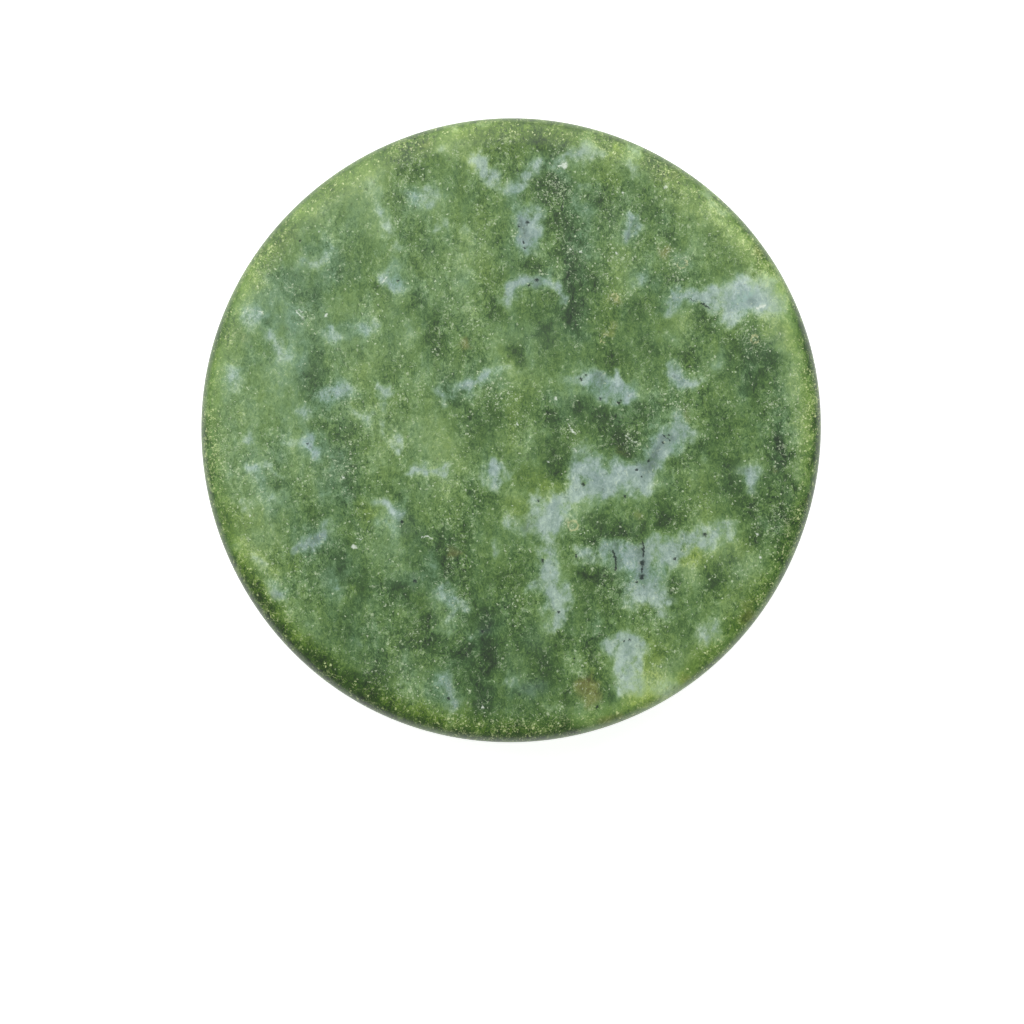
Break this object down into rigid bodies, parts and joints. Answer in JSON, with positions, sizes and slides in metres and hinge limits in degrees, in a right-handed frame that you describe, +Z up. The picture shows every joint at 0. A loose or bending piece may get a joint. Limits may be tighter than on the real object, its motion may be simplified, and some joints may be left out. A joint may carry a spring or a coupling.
{
  "type": "polished stone disc",
  "caption": "Flat round disc of mottled green stone with polished faces and softly rolled edges, a cool smooth pad for a drop of product on a vanity or work table.",
  "frame": {"origin": "centre of the flat face that the disc rests on", "axes": "+Z up along the disc's own axis, from the face it rests on to the face in view; +X and +Y lie in the faces, +X to the right and +Y away from a person who stands in front of it"},
  "size_m": [0.05, 0.05, 0.009],
  "materials": {
    "green_stone": "polished"
  },
  "bodies": {
    "root": {"stone_disc": "green_stone"}
  },
  "joints": []
}
